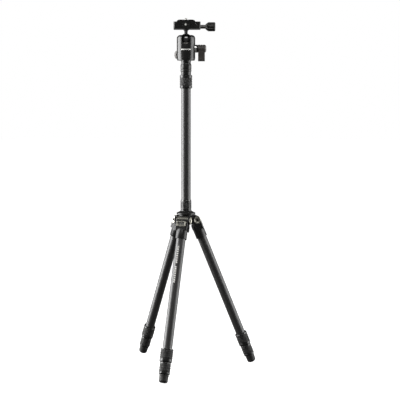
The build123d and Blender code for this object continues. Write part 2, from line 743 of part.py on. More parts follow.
with BuildPart() as pan_knob:
    with BuildSketch(pan_plane.offset(PAN_KNOB_FACE)):
        Circle(PAN_KNOB_R)
    extrude(amount=PAN_KNOB_END - PAN_KNOB_FACE)
    with BuildSketch(pan_plane.offset(PAN_KNOB_FACE)):
        with PolarLocations(PAN_KNOB_R + 0.4, 16):
            Circle(1.1)
    extrude(amount=PAN_KNOB_END - PAN_KNOB_FACE, mode=Mode.SUBTRACT)
    with BuildSketch(pan_plane.offset(TURRET_R + 0.2)):
        Circle(PAN_SCREW_R)
    extrude(amount=PAN_KNOB_FACE - TURRET_R)
pan_knob.part.label = "pan_knob"
export_step(pan_knob.part, "parts/pan_knob.step")

with BuildPart() as ball_stem:
    with Locations((0, 0, BALL_Z)):
        Sphere(BALL_R)
    shoulder_z = BALL_Z + sqrt(BALL_R**2 - STEM_R**2) - 1
    with BuildSketch(Plane.XZ):
        with BuildLine():
            Polyline(
                (STEM_R, STEM_NECK_Z),
                (STEM_R, shoulder_z),
                (0, shoulder_z),
                (0, STEM_TOP),
                (STEM_FLARE_R, STEM_TOP),
            )
            TangentArc((STEM_R, STEM_NECK_Z), (STEM_FLARE_R, STEM_TOP - 0.01), tangent=(0, 1))
            Line((STEM_FLARE_R, STEM_TOP - 0.01), (STEM_FLARE_R, STEM_TOP))
        make_face()
    revolve(axis=Axis.Z)
    with BuildSketch(Plane.XY.offset(STEM_TOP)):
        Circle(STEM_SCREW_R + FIT_GAP)
    extrude(amount=-STEM_SCREW_DEPTH - 0.2, mode=Mode.SUBTRACT)
ball_stem.part.label = "ball_stem"
export_step(ball_stem.part, "parts/ball_stem.step")

with BuildPart() as stem_screw:
    with BuildSketch(Plane.XY.offset(STEM_TOP - STEM_SCREW_DEPTH)):
        Circle(STEM_SCREW_R)
    extrude(amount=STEM_SCREW_HEAD_Z - STEM_TOP + STEM_SCREW_DEPTH)
    with BuildSketch(Plane.XY.offset(STEM_SCREW_HEAD_Z)):
        Circle(STEM_SCREW_HEAD_R)
    extrude(amount=STEM_SCREW_HEAD_HEIGHT)
    with BuildSketch(Plane.XY.offset(STEM_SCREW_HEAD_Z + STEM_SCREW_HEAD_HEIGHT)):
        RegularPolygon(2.2, 6)
    extrude(amount=-2.0, mode=Mode.SUBTRACT)
stem_screw.part.label = "stem_screw"
export_step(stem_screw.part, "parts/stem_screw.step")

# ==== quick-release clamp =======================================================================


def jaw_outline(outer_x, foot_z):
    """Dovetail jaw on the +X side, from the channel out to outer_x."""
    foot = DOVETAIL_FOOT + DOVETAIL_GAP
    neck = DOVETAIL_NECK + DOVETAIL_GAP
    return (
        (foot, foot_z),
        (foot, DOVETAIL_SLOPE_LOW + 0.1),
        (neck, DOVETAIL_SLOPE_HIGH + 0.1),
        (neck, CLAMP_TOP),
        (outer_x, CLAMP_TOP),
        (outer_x, foot_z),
    )


LENGTHWISE = Plane.XZ.offset(-CLAMP_HALF_LENGTH)

with BuildPart() as clamp_body:
    with BuildSketch(LENGTHWISE):
        with BuildLine():
            Polyline(
                (CLAMP_LEFT, CLAMP_BOTTOM),
                (CLAMP_SPLIT, CLAMP_BOTTOM),
                (CLAMP_SPLIT, CLAMP_FLOOR),
                (-DOVETAIL_FOOT - DOVETAIL_GAP, CLAMP_FLOOR),
                (-DOVETAIL_FOOT - DOVETAIL_GAP, DOVETAIL_SLOPE_LOW + 0.1),
                (-DOVETAIL_NECK - DOVETAIL_GAP, DOVETAIL_SLOPE_HIGH + 0.1),
                (-DOVETAIL_NECK - DOVETAIL_GAP, CLAMP_TOP),
                (CLAMP_LEFT, CLAMP_TOP),
                close=True,
            )
        make_face()
    extrude(amount=2 * CLAMP_HALF_LENGTH)
    corners = clamp_body.edges().filter_by(Axis.Z).sort_by(Axis.X)[:2]
    fillet(corners, radius=4.0)
    with BuildSketch(Plane.XZ.offset(CLAMP_HALF_LENGTH)):
        with Locations((0, BOSS_Z)):
            Circle(BOSS_R)
    extrude(amount=BOSS_PROUD)
    with BuildSketch(Plane.XZ.offset(CLAMP_HALF_LENGTH + BOSS_PROUD)):
        with Locations((VIAL_X, VIAL_Z)):
            Circle(VIAL_R + FIT_GAP)
    extrude(amount=-VIAL_DEPTH, mode=Mode.SUBTRACT)
    with BuildSketch(Plane.XY.offset(CLAMP_BOTTOM)):
        Circle(STEM_SCREW_R + 0.1)
    extrude(amount=STEM_SCREW_SEAT, mode=Mode.SUBTRACT)
    with BuildSketch(Plane.XY.offset(CLAMP_BOTTOM + STEM_SCREW_SEAT)):
        Circle(STEM_SCREW_HEAD_R + 0.4)
    extrude(amount=CLAMP_TOP - CLAMP_BOTTOM, mode=Mode.SUBTRACT)
    with BuildSketch(x_plane(KNOB_Z).offset(CLAMP_SCREW_TIP - 0.4)):
        Circle(CLAMP_SCREW_R + PIN_GAP)
    extrude(amount=20, mode=Mode.SUBTRACT)
    with BuildSketch(x_plane(GUIDE_PIN_Z).offset(CLAMP_SCREW_TIP - 0.4)):
        with Locations((-GUIDE_PIN_Y, 0), (GUIDE_PIN_Y, 0)):
            Circle(GUIDE_PIN_R + PIN_GAP)
    extrude(amount=20, mode=Mode.SUBTRACT)
clamp_body.part.label = "clamp_body"
export_step(clamp_body.part, "parts/clamp_body.step")

with BuildPart() as clamp_jaw:
    with BuildSketch(LENGTHWISE):
        with BuildLine():
            Polyline(*jaw_outline(CLAMP_RIGHT, CLAMP_FLOOR + 0.2), close=True)
        make_face()
        with Locations(((CLAMP_SPLIT + 0.2 + CLAMP_RIGHT) / 2, (CLAMP_BOTTOM + CLAMP_TOP) / 2)):
            Rectangle(CLAMP_RIGHT - CLAMP_SPLIT - 0.2, CLAMP_TOP - CLAMP_BOTTOM)
    extrude(amount=2 * CLAMP_HALF_LENGTH)
    outer_corners = clamp_jaw.edges().filter_by(Axis.Z).sort_by(Axis.X)[-2:]
    fillet(outer_corners, radius=4.0)
    with BuildSketch(x_plane(KNOB_Z).offset(CLAMP_SPLIT)):
        Circle(CLAMP_SCREW_R + PIN_GAP)
    extrude(amount=10, mode=Mode.SUBTRACT)
    with BuildSketch(x_plane(GUIDE_PIN_Z).offset(CLAMP_SPLIT)):
        with Locations((-GUIDE_PIN_Y, 0), (GUIDE_PIN_Y, 0)):
            Circle(GUIDE_PIN_R + 0.01)
    extrude(amount=5.8, mode=Mode.SUBTRACT)
clamp_jaw.part.label = "clamp_jaw"
export_step(clamp_jaw.part, "parts/clamp_jaw.step")


def guide_pin(y):
    """Steel pin that keeps the moving jaw square."""
    plane = Plane(origin=(0, y, GUIDE_PIN_Z), x_dir=(0, 1, 0), z_dir=(1, 0, 0))
    return rod(GUIDE_PIN_R, plane, CLAMP_SCREW_TIP, CLAMP_SPLIT + 5.7)


save(Compound(children=[guide_pin(-GUIDE_PIN_Y), guide_pin(GUIDE_PIN_Y)]), "jaw_guide_pins")

with BuildPart() as clamp_screw:
    with BuildSketch(x_plane(KNOB_Z).offset(CLAMP_SCREW_TIP)):
        Circle(CLAMP_SCREW_R)
    extrude(amount=KNOB_END - KNOB_CAP - CLAMP_SCREW_TIP)
    with BuildSketch(x_plane(KNOB_Z).offset(CLAMP_RIGHT + 0.2)):
        Circle(KNOB_NECK_R)
    extrude(amount=KNOB_START - CLAMP_RIGHT + 1.0)
clamp_screw.part.label = "clamp_screw"
export_step(clamp_screw.part, "parts/clamp_screw.step")

with BuildPart() as clamp_knob:
    with BuildSketch(Plane(origin=(0, 0, KNOB_Z), x_dir=(1, 0, 0), z_dir=(0, -1, 0))):
        with BuildLine():
            Polyline(
                (KNOB_START, 0),
                (KNOB_START, 5.6),
                (KNOB_START + 4.5, 9.4),
                (KNOB_START + 6.5, KNOB_R),
                (KNOB_END - 1.6, KNOB_R),
                (KNOB_END, KNOB_R - 1.6),
                (KNOB_END, 0),
                close=True,
            )
        make_face()
    revolve(axis=Axis(origin=(0, 0, KNOB_Z), direction=(1, 0, 0)))
    with BuildSketch(x_plane(KNOB_Z).offset(KNOB_START)):
        with PolarLocations(KNOB_R + 1.2, 8):
            Circle(KNOB_FLUTE_R)
    extrude(amount=KNOB_END - KNOB_START, mode=Mode.SUBTRACT)
    with BuildSketch(x_plane(KNOB_Z).offset(KNOB_START)):
        Circle(KNOB_NECK_R + FIT_GAP)
    extrude(amount=1.3, mode=Mode.SUBTRACT)
    with BuildSketch(x_plane(KNOB_Z).offset(KNOB_START)):
        Circle(CLAMP_SCREW_R + FIT_GAP)
    extrude(amount=KNOB_END - KNOB_CAP - KNOB_START, mode=Mode.SUBTRACT)
clamp_knob.part.label = "clamp_knob"
export_step(clamp_knob.part, "parts/clamp_knob.step")

with BuildPart() as level_vial:
    with BuildSketch(Plane.XZ.offset(CLAMP_HALF_LENGTH + BOSS_PROUD - VIAL_DEPTH + 0.05)):
        with Locations((VIAL_X, VIAL_Z)):
            Circle(VIAL_R)
    extrude(amount=2.2)
    vial_rim = level_vial.edges().filter_by(GeomType.CIRCLE).sort_by(Axis.Y)[0]
    fillet(vial_rim, radius=0.45)
level_vial.part.label = "level_vial"
export_step(level_vial.part, "parts/level_vial.step")

# ==== camera plate ================================================================================

with BuildPart() as camera_plate:
    with BuildSketch(Plane.XZ.offset(-PLATE_HALF_LENGTH)):
        with BuildLine():
            Polyline(
                (0, PLATE_BOTTOM),
                (DOVETAIL_FOOT, PLATE_BOTTOM),
                (DOVETAIL_FOOT, DOVETAIL_SLOPE_LOW),
                (DOVETAIL_NECK, DOVETAIL_SLOPE_HIGH),
                (DOVETAIL_NECK, PLATE_FLANGE),
                (PLATE_HALF_WIDTH, PLATE_FLANGE),
                (PLATE_HALF_WIDTH, PLATE_FLANGE + 0.5),
            )
            RadiusArc((PLATE_HALF_WIDTH, PLATE_FLANGE + 0.5), (PLATE_TOP_HALF_WIDTH, PLATE_TOP), -6.5)
            Polyline((PLATE_TOP_HALF_WIDTH, PLATE_TOP), (0, PLATE_TOP), (0, PLATE_BOTTOM))
        make_face()
        mirror(about=Plane.YZ)
    extrude(amount=2 * PLATE_HALF_LENGTH)
    with BuildSketch(Plane.XY.offset(PLATE_BOTTOM)):
        SlotOverall(PLATE_SLOT_LENGTH, PLATE_SLOT_WIDTH, rotation=90)
    extrude(amount=PLATE_SLOT_DEPTH, mode=Mode.SUBTRACT)
    with BuildSketch(Plane.XY.offset(PLATE_BOTTOM)):
        SlotOverall(PLATE_TRACK_LENGTH, PLATE_TRACK_WIDTH, rotation=90)
    extrude(amount=PLATE_TOP - PLATE_BOTTOM, mode=Mode.SUBTRACT)
camera_plate.part.label = "camera_plate"
export_step(camera_plate.part, "parts/camera_plate.step")

with BuildPart() as plate_pads:
    with BuildSketch(Plane.XY.offset(PLATE_TOP)):
        for side in (-1, 1):
            with Locations((side * PAD_X, 0)):
                RectangleRounded(PAD_WIDTH, 2 * PLATE_HALF_LENGTH - 4, 2.0)
    extrude(amount=PAD_TOP - PLATE_TOP)
plate_pads.part.label = "plate_pads"
export_step(plate_pads.part, "parts/plate_pads.step")

with BuildPart() as camera_screw:
    with BuildSketch(Plane.XY.offset(PLATE_BOTTOM + 0.4)):
        Circle(CAMERA_SCREW_HEAD_R)
    extrude(amount=CAMERA_SCREW_HEAD_HEIGHT)
    with BuildSketch(Plane.XY.offset(PLATE_BOTTOM + 0.4)):
        Circle(CAMERA_SHANK_R)
    extrude(amount=PAD_TOP - PLATE_BOTTOM - 0.4)
    with BuildSketch(Plane.XY.offset(PAD_TOP)):
        Circle(CAMERA_THREAD_R)
    extrude(amount=CAMERA_SCREW_TOP - PAD_TOP)
    tip = camera_screw.edges().filter_by(GeomType.CIRCLE).sort_by(Axis.Z)[-1]
    chamfer(tip, length=0.4)
    with BuildSketch(Plane.XY.offset(PLATE_BOTTOM + 0.4)):
        Rectangle(11, 1.4)
    extrude(amount=1.2, mode=Mode.SUBTRACT)
camera_screw.part.label = "camera_screw"
export_step(camera_screw.part, "parts/camera_screw.step")
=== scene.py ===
import json
import math

import bmesh
import bpy
from mathutils import Matrix, Vector


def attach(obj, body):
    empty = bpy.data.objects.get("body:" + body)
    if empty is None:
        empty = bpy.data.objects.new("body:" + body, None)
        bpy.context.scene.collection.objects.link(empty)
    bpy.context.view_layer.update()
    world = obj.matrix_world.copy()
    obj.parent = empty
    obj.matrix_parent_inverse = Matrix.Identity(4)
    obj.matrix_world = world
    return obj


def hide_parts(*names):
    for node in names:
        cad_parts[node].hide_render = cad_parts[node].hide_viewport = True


# Looks of a travel tripod with a ball head. Meshes are stored in metres. Sizes are written
# in millimetres and multiplied by MM, and most places are measured on the CAD frame.

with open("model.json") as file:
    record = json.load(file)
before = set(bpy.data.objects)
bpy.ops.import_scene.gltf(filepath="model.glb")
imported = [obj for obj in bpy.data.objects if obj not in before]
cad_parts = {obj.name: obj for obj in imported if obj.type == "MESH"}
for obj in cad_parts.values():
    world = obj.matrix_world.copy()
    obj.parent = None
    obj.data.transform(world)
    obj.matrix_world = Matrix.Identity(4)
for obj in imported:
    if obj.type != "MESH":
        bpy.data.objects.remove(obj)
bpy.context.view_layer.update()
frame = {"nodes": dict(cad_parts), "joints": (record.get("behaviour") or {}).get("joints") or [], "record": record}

MM = 0.001
LEGS = ("front", "right", "left")
JOINTS = {joint["name"]: joint for joint in frame["joints"]}

# Outside radii of the carbon tubes, not counting the guide shims that share their nodes,
# and the gap round a tube in a lock's collar.
LEG_MIDDLE_R = 9.35
LEG_BOTTOM_R = 7.75
COLUMN_LOWER_R = 11.0
COLUMN_UPPER_R = 9.3
TUBE_GAP = 0.12

# In a leg's frame: the outer face of the hinge's lugs, the knuckle's centre, and how deep
# the latch's dish is.
LUG_FACE = 18.9
KNUCKLE_Y = 2.0
LATCH_DISH_DEPTH = 1.2

# Heights on the head, where the lock's collar changes colour, and places on the clamp's front.
BADGE_Z = 750.7
LEVER_SCREW_Z = 753.1
STEM_Z = 787.5
COLLAR_SPLIT_X = 24.2
GRUB_SCREW_X = 4.9
GRUB_SCREW_Z = 807.0
INDEX_PIN = (23.2, -25.0, 808.0)

# Pitch of the camera screw's thread, and the width of a rubber pad on the plate.
THREAD_PITCH = 1.27
PAD_WIDTH = 11.6


# ==== places =================================================================================


def frame_from(origin, along, side):
    """Local frame with +Z along one direction and +X as near as can be to another."""
    z = Vector(along).normalized()
    x = (Vector(side) - z * z.dot(Vector(side))).normalized()
    place = Matrix((x, z.cross(x), z)).transposed().to_4x4()
    place.translation = Vector(origin)
    return place


def leg_place(leg):
    """A leg's frame: +Z up the leg, +Y its outer side, +X along its hinge."""
    twist = JOINTS[f"{leg}_leg_upper_lock_twist"]
    hinge = JOINTS[f"{leg}_leg_fold"]["axis"]
    return frame_from(twist["pos_m"], -Vector(twist["axis"]), hinge)


def local_points(node, place):
    """A CAD node's vertices in a local frame."""
    inverse = place.inverted()
    return [inverse @ vertex.co for vertex in frame["nodes"][node].data.vertices]


def extent(node, place=Matrix()):
    """Lowest and highest corner of a CAD node in a local frame."""
    points = local_points(node, place)
    low = Vector([min(point[i] for point in points) for i in range(3)])
    high = Vector([max(point[i] for point in points) for i in range(3)])
    return low, high


def radii(node, place=Matrix()):
    """Inner and outer radius, in millimetres, of a round CAD node about a local Z axis."""
    found = [math.hypot(point.x, point.y) / MM for point in local_points(node, place)]
    return min(found), max(found)


def heights(node, place=Matrix()):
    """Bottom and top of a CAD node along a local Z axis, in millimetres."""
    low, high = extent(node, place)
    return low.z / MM, high.z / MM


# ==== mesh tools =============================================================================


def add_piece(name, mesh, body, material, place=Matrix(), stands_for=(), sharp=32):
    """Link a finished mesh as a piece that rides on a body."""
    mesh.shade_smooth()
    mesh.set_sharp_from_angle(angle=math.radians(sharp))
    piece = bpy.data.objects.new(name, mesh)
    bpy.context.scene.collection.objects.link(piece)
    piece.matrix_world = place
    piece.data.materials.append(material)
    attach(piece, body)
    if stands_for:
        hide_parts(*stands_for)
    return piece


def mesh_from(bm, name):
    """Weld, orient and store a bmesh."""
    bmesh.ops.remove_doubles(bm, verts=bm.verts, dist=0.002 * MM)
    bmesh.ops.recalc_face_normals(bm, faces=bm.faces)
    mesh = bpy.data.meshes.new(name)
    bm.to_mesh(mesh)
    bm.free()
    return mesh


def skin(bm, rings, capped):
    """Faces from each closed ring of vertices to the next, and over the two end rings."""
    for ring, ahead in zip(rings, rings[1:]):
        for k in range(len(ring)):
            n = (k + 1) % len(ring)
            bm.faces.new((ring[k], ring[n], ahead[n], ahead[k]))
    if capped:
        bm.faces.new(rings[0])
        bm.faces.new(reversed(rings[-1]))


def rounded(outline, radius=0.3, steps=3):
    """Outline with each corner off the axis turned into a small arc."""
    made = []
    count = len(outline)
    for i, corner in enumerate(outline):
        here = Vector(corner)
        back = Vector(outline[i - 1]) - here
        ahead = Vector(outline[(i + 1) % count]) - here
        reach = min(radius, 0.45 * back.length, 0.45 * ahead.length)
        if corner[0] < 0.01 or reach < 0.02:
            made.append(here)
            continue
        start = here + back.normalized() * reach
        end = here + ahead.normalized() * reach
        for step in range(steps + 1):
            t = step / steps
            made.append(start.lerp(here, t).lerp(here.lerp(end, t), t))
    return made


def divided(outline, longest):
    """Outline with extra points, so that no stretch is longer than a limit."""
    points = [Vector(point) for point in outline]
    made = []
    for point, ahead in zip(points, points[1:] + points[:1]):
        parts = max(1, math.ceil((ahead - point).length / longest))
        made += [point.lerp(ahead, k / parts) for k in range(parts)]
    return made


def arc(centre, radius, start, end, step):
    """Points of an arc, every step degrees from start until before end."""
    angles = [math.radians(degrees) for degrees in range(start, end, step)]
    return [(centre[0] + radius * math.cos(a), centre[1] + radius * math.sin(a)) for a in angles]


def turned(name, outline, segments=96, relief=None):
    """Mesh turned about local Z from a closed outline; relief changes the radius."""
    bm = bmesh.new()
    rings = []
    for reach, height in outline:
        ring = []
        for k in range(segments):
            angle = 2 * math.pi * k / segments
            radius = (relief(angle, reach, height) if relief else reach) * MM
            ring.append(bm.verts.new((radius * math.cos(angle), radius * math.sin(angle), height * MM)))
        rings.append(ring)
    skin(bm, rings + rings[:1], capped=False)
    return mesh_from(bm, name)


def prism(bm, outline, depth_low, depth_high, to_point):
    """Straight bar through an outline, placed by a function of (u, v, depth)."""
    ends = [[bm.verts.new(to_point(u, v, d)) for u, v in outline] for d in (depth_low, depth_high)]
    skin(bm, ends, capped=True)


def rounded_box(half_u, half_v, radius, steps=4):
    """Outline of a rectangle with round corners, centred on the origin."""
    points = []
    for side_u, side_v, start in ((1, 1, 0), (-1, 1, 90), (-1, -1, 180), (1, -1, 270)):
        for step in range(steps + 1):
            angle = math.radians(start + 90 * step / steps)
            points.append((
                side_u * (half_u - radius) + radius * math.cos(angle),
                side_v * (half_v - radius) + radius * math.sin(angle),
            ))
    return points


def smoothstep(low, high, value):
    """0 below low, 1 above high, smooth between."""
    t = min(max((value - low) / (high - low), 0.0), 1.0)
    return t * t * (3 - 2 * t)


def band(low, high, fade, value):
    """1 between two heights, falling smoothly to 0 at each of them."""
    return smoothstep(low, low + fade, value) * (1 - smoothstep(high - fade, high, value))


def bevel(piece, width, angle=30, segments=2):
    """Rounded edges wherever a piece's faces meet at more than an angle."""
    edges = piece.modifiers.new("edges", "BEVEL")
    edges.width = width * MM
    edges.segments = segments
    edges.limit_method = "ANGLE"
    edges.angle_limit = math.radians(angle)
    return edges


def ease_edges(node, width, segments=2):
    """Rounded edges on a CAD node, by modifiers only."""
    piece = frame["nodes"][node]
    weld = piece.modifiers.new("weld", "WELD")
    weld.merge_threshold = 0.003 * MM
    flat = piece.modifiers.new("flat_faces", "DECIMATE")
    flat.decimate_type = "DISSOLVE"
    flat.angle_limit = math.radians(0.4)
    bevel(piece, width, 34, segments).harden_normals = True


# ==== materials ==============================================================================


class Graph:
    """Short way to write a material's nodes."""

    def __init__(self, name):
        self.material = bpy.data.materials.new(name)
        self.material.use_nodes = True
        self.nodes = self.material.node_tree.nodes
        self.links = self.material.node_tree.links
        self.shader = self.nodes["Principled BSDF"]

    def put(self, socket, value):
        """Link a socket, or set its number or colour."""
        if isinstance(value, bpy.types.NodeSocket):
            self.links.new(value, socket)
        elif isinstance(value, tuple) and len(value) == 3 and socket.type == "RGBA":
            socket.default_value = (*value, 1.0)
        else:
            socket.default_value = value

    def shade(self, **inputs):
        """Link or set the shader's inputs; a name's underscores stand for spaces."""
        for key, value in inputs.items():
            self.put(self.shader.inputs[key.replace("_", " ")], value)

    def add(self, kind, inputs=None, **settings):
        """New node with its settings and inputs; returns the node."""
        made = self.nodes.new(kind)
        for key, value in settings.items():
            setattr(made, key, value)
        for key, value in (inputs or {}).items():
            self.put(made.inputs[key], value)
        return made

    def math(self, operation, a, b=0.0, c=0.0):
        """Math node's result."""
        made = self.add("ShaderNodeMath", {0: a, 1: b, 2: c}, operation=operation)
        return made.outputs[0]

    def ramp(self, value, low, high, to_low=0.0, to_high=1.0):
        """Clamped straight map of a number."""
        inputs = {"Value": value, "From Min": low, "From Max": high, "To Min": to_low, "To Max": to_high}
        return self.add("ShaderNodeMapRange", inputs).outputs["Result"]

    def noise(self, vector, size, detail=3.0, rough=0.55):
        """Noise whose features are about size millimetres."""
        inputs = {"Vector": vector, "Scale": 1 / (size * MM), "Detail": detail, "Roughness": rough}
        return self.add("ShaderNodeTexNoise", inputs).outputs["Fac"]

    def mix(self, factor, a, b):
        """Colour mix's result."""
        made = self.add("ShaderNodeMix", data_type="RGBA")
        for key, value in (("Factor", factor), ("A", a), ("B", b)):
            socket = next(s for s in made.inputs if s.name == key and s.enabled)
            self.put(socket, value)
        return next(s for s in made.outputs if s.enabled)

    def where(self):
        """Object coordinates."""
        return self.add("ShaderNodeTexCoord").outputs["Object"]

    def mapped(self, place):
        """Object coordinates in a local frame."""
        inputs = {
            "Vector": self.where(),
            "Location": tuple(place.translation),
            "Rotation": tuple(place.to_euler()),
        }
        return self.add("ShaderNodeMapping", inputs, vector_type="TEXTURE").outputs["Vector"]

    def split(self, vector):
        """A vector's three parts, by the names X, Y and Z."""
        return self.add("ShaderNodeSeparateXYZ", {"Vector": vector}).outputs

    def edge(self, radius):
        """About 1 along sharp edges and 0 on open faces."""
        soft = self.add("ShaderNodeBevel", {"Radius": radius * MM}, samples=6).outputs["Normal"]
        face = self.add("ShaderNodeNewGeometry").outputs["Normal"]
        agree = self.add("ShaderNodeVectorMath", {0: soft, 1: face}, operation="DOT_PRODUCT")
        return self.ramp(agree.outputs["Value"], 0.995, 0.80)

    def bump(self, height, strength, distance):
        """Bump from a height socket, distance in millimetres, to the shader's normal."""
        inputs = {"Height": height, "Strength": strength, "Distance": distance * MM}
        self.shade(Normal=self.add("ShaderNodeBump", inputs).outputs["Normal"])


def worked(name, colour, roughness, metallic=0.0, tone=0.25, grain=0.35, depth=0.02,
           wear=(0.3, 0.3, 0.3), wear_share=0.35, spread=0.10, specular=0.5, coat=0.0):
    """Graph of a worked surface: soft changes of tone, fine grain, and lighter edges; these stand for scuffed,
    worn edges, and on the head housing for a painted highlight along lit edges.
    """
    graph = Graph(name)
    where = graph.where()
    cloud = graph.noise(where, 14.0, 4.0)
    fine = graph.noise(where, grain, 2.0)
    scuff = graph.noise(where, 2.2, 5.0, 0.7)
    dark = tuple(part * (1 - tone) for part in colour)
    light = tuple(min(1.0, part * (1 + tone)) for part in colour)
    body = graph.mix(graph.ramp(cloud, 0.3, 0.7), dark, light)
    # Lighter edges: scuffed metal on most finishes; on the head housing, with a wide share and light grey, a
    # painted highlight.
    rubbed_and_lit_edges = graph.math("MULTIPLY", graph.edge(0.45), graph.ramp(scuff, 0.42, 0.66, 0.15, 1.0))
    share = graph.math("MULTIPLY", rubbed_and_lit_edges, wear_share)
    gloss = graph.math("ADD", graph.ramp(fine, 0.3, 0.7, roughness - spread, roughness + spread),
                       graph.ramp(scuff, 0.35, 0.75, -0.04, 0.05))
    graph.shade(Base_Color=graph.mix(share, body, wear), Roughness=gloss, Metallic=metallic,
                Specular_IOR_Level=specular, Coat_Weight=coat, Coat_Roughness=0.12)
    graph.bump(fine, 0.5, depth)
    return graph


def finish(name, colour, roughness, **looks):
    """Material of a worked surface."""
    return worked(name, colour, roughness, **looks).material


def blacken(graph, axis, limit, black):
    """Blacken a metal finish past a place on one axis; returns the mask of that part."""
    dark = graph.math("GREATER_THAN", graph.split(graph.where())[axis], limit * MM)
    bright_colour = graph.shader.inputs["Base Color"].links[0].from_socket
    graph.shade(Base_Color=graph.mix(dark, bright_colour, black),
                Metallic=graph.math("SUBTRACT", 1.0, dark))
    return dark


def ball_finish():
    """Dark polished ball; its stem is matt black."""
    graph = worked("ball_black", (0.17, 0.17, 0.17), 0.10, metallic=1.0, tone=0.05, spread=0.02,
                   depth=0.003, wear_share=0.05)
    stem = blacken(graph, "Z", STEM_Z, (0.006, 0.006, 0.006))
    polish = graph.shader.inputs["Roughness"].links[0].from_socket
    graph.shade(Roughness=graph.math("ADD", polish, graph.math("MULTIPLY", stem, 0.5)))
    return graph.material


def two_tone_collar():
    """Bright turned collar whose outer part is blackened."""
    graph = worked("collar_two_tone", (0.80, 0.80, 0.78), 0.20, metallic=1.0, tone=0.05,
                   wear=(0.9, 0.9, 0.9))
    blacken(graph, "X", COLLAR_SPLIT_X, (0.010, 0.010, 0.009))
    return graph.material


def carbon(name, place, radius, marks=None):
    """Twill carbon tube under a satin lacquer, woven round a local Z axis."""
    tow = 1.7
    over_run = 4
    graph = Graph(name)
    where = graph.mapped(place)
    split = graph.split(where)
    turn = graph.math("ARCTAN2", split["Y"], split["X"])
    tows = over_run * round(2 * math.pi * radius / (tow * over_run))
    around = graph.math("MULTIPLY", graph.math("ADD", turn, math.pi), tows / (2 * math.pi))
    along = graph.math("DIVIDE", split["Z"], tow * MM)
    step = graph.math("ADD", graph.math("FLOOR", around), graph.math("FLOOR", along))
    over = graph.math("LESS_THAN", graph.math("FLOORED_MODULO", step, over_run), over_run / 2)
    warp = graph.math("SINE", graph.math("MULTIPLY", graph.math("FRACT", around), math.pi))
    weft = graph.math("SINE", graph.math("MULTIPLY", graph.math("FRACT", along), math.pi))
    height = graph.add("ShaderNodeMix", {0: over, 2: weft, 3: warp}).outputs[0]
    cloud = graph.noise(where, 30.0, 3.0)
    fibre = graph.noise(where, 0.4, 2.0)
    tone = graph.math("ADD", graph.math("MULTIPLY", over, 0.45), graph.math("MULTIPLY", height, 0.4))
    tone = graph.math("ADD", tone, graph.ramp(cloud, 0.3, 0.7, -0.15, 0.15))
    body = graph.mix(tone, (0.0160, 0.0156, 0.0150), (0.0245, 0.0236, 0.0228))
    gloss = graph.ramp(height, 0.0, 1.0, 0.45, 0.40)
    if marks:
        mask = marks(graph, split)
        body = graph.mix(mask, body, (0.62, 0.61, 0.58))
        gloss = graph.math("ADD", gloss, graph.math("MULTIPLY", mask, 0.12))
    gloss = graph.math("ADD", gloss, graph.ramp(fibre, 0.3, 0.7, -0.03, 0.03))
    graph.shade(Base_Color=body, Roughness=gloss, Coat_Weight=0.20, Coat_Roughness=0.30)
    graph.bump(height, 0.2, 0.012)
    return graph.material


def printed_bars(graph, split):
    """Mask of a printed row of plain bars up a tube's outer side, with one gap."""
    low = -150.0
    high = -62.0
    half_width = 1.9
    pitch = 5.2
    bar_share = 0.64
    gap_at = low + 0.47 * (high - low)
    gap_half = 3.5
    side = graph.math("LESS_THAN", graph.math("ABSOLUTE", split["X"]), half_width * MM)
    outer = graph.math("GREATER_THAN", split["Y"], 0.0)
    span = graph.math("MULTIPLY", graph.math("GREATER_THAN", split["Z"], low * MM),
                      graph.math("LESS_THAN", split["Z"], high * MM))
    step = graph.math("FRACT", graph.math("DIVIDE", split["Z"], pitch * MM))
    bar = graph.math("LESS_THAN", step, bar_share)
    off_gap = graph.math("ABSOLUTE", graph.math("SUBTRACT", split["Z"], gap_at * MM))
    gap = graph.math("LESS_THAN", off_gap, gap_half * MM)
    bars = graph.math("MULTIPLY", graph.math("MULTIPLY", side, outer), graph.math("MULTIPLY", span, bar))
    return graph.math("MULTIPLY", bars, graph.math("SUBTRACT", 1.0, gap))


satin_black = finish("satin_black", (0.0085, 0.0085, 0.0080), 0.31, wear_share=0.15, specular=0.4)
casting_black = finish("casting_black", (0.0085, 0.0083, 0.0081), 0.34, grain=0.5, depth=0.05,
                       wear_share=0.25, specular=0.35)
lock_black = finish("lock_black", (0.0075, 0.0075, 0.0072), 0.26, wear_share=0.2)
# Head housing: its edges are painted light grey over a wide share, a painted highlight for the lit bevel round the
# drop notch.
housing_black_painted_edge_highlight = finish("housing_black_painted_edge_highlight", (0.0085, 0.0085, 0.0080), 0.30, wear=(0.42, 0.42, 0.40),
                       wear_share=0.6)
knob_black = finish("knob_black", (0.060, 0.060, 0.058), 0.30, metallic=1.0, wear_share=0.3)
dark_steel = finish("dark_steel", (0.17, 0.165, 0.16), 0.24, metallic=1.0, wear_share=0.2)
rubber = finish("rubber", (0.0130, 0.0125, 0.0120), 0.58, depth=0.06, wear=(0.05, 0.05, 0.05),
                wear_share=0.5, specular=0.4)
steel = finish("steel", (0.56, 0.55, 0.53), 0.30, metallic=1.0, tone=0.08, wear=(0.8, 0.8, 0.8))
bright = finish("bright_metal", (0.74, 0.74, 0.72), 0.22, metallic=1.0, tone=0.06,
                wear=(0.9, 0.9, 0.9))
champagne = finish("champagne_metal", (0.47, 0.46, 0.40), 0.30, metallic=1.0, tone=0.07, depth=0.015,
                   wear=(0.8, 0.79, 0.74))
dark_fastener = finish("dark_fastener", (0.030, 0.028, 0.026), 0.28, metallic=0.6, wear_share=0.2)
grey_plastic = finish("grey_plastic", (0.064, 0.058, 0.053), 0.42, grain=0.6, depth=0.05,
                      wear=(0.16, 0.15, 0.14))
nylon = finish("nylon", (0.55, 0.54, 0.50), 0.5, tone=0.06, wear=(0.7, 0.7, 0.66))
trim_grey = finish("trim_grey", (0.30, 0.30, 0.29), 0.28, metallic=0.9, tone=0.08,
                   wear=(0.7, 0.7, 0.7))
badge_grey = finish("badge_grey", (0.66, 0.66, 0.63), 0.50, tone=0.05, wear=(0.7, 0.7, 0.68))
